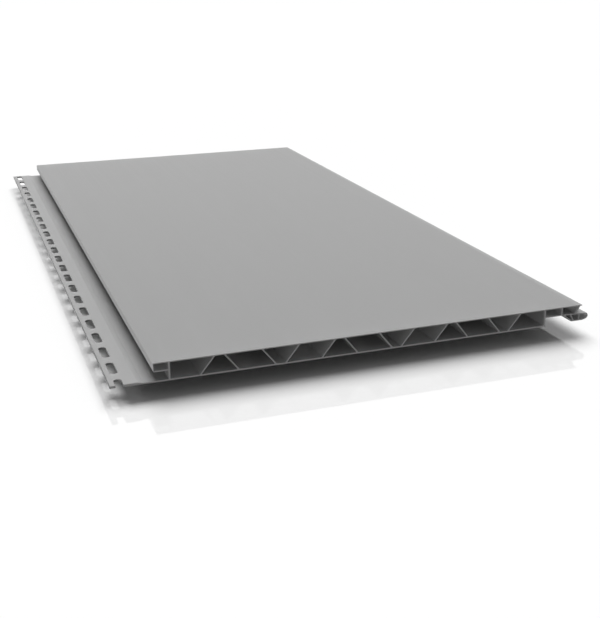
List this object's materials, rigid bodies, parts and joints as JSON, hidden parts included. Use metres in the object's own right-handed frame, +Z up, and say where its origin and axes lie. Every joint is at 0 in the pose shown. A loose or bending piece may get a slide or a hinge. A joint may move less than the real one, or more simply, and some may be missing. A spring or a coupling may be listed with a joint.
{
  "type": "pvc wall panel",
  "caption": "Interlocking hollow PVC wall panel with truss webs, a slotted nailing fin along one edge and a hollow tongue along the other.",
  "frame": {"origin": "centre of the panel's bounding box, on the back face that it rests on", "axes": "+X across the width towards the tongue, +Y along the length towards the far end, +Z up out of the show face"},
  "size_m": [0.337, 0.628, 0.0127],
  "materials": {
    "light_grey_pvc": "smooth satin light grey PVC"
  },
  "bodies": {
    "root": {"wall_panel": "light_grey_pvc"}
  },
  "joints": []
}
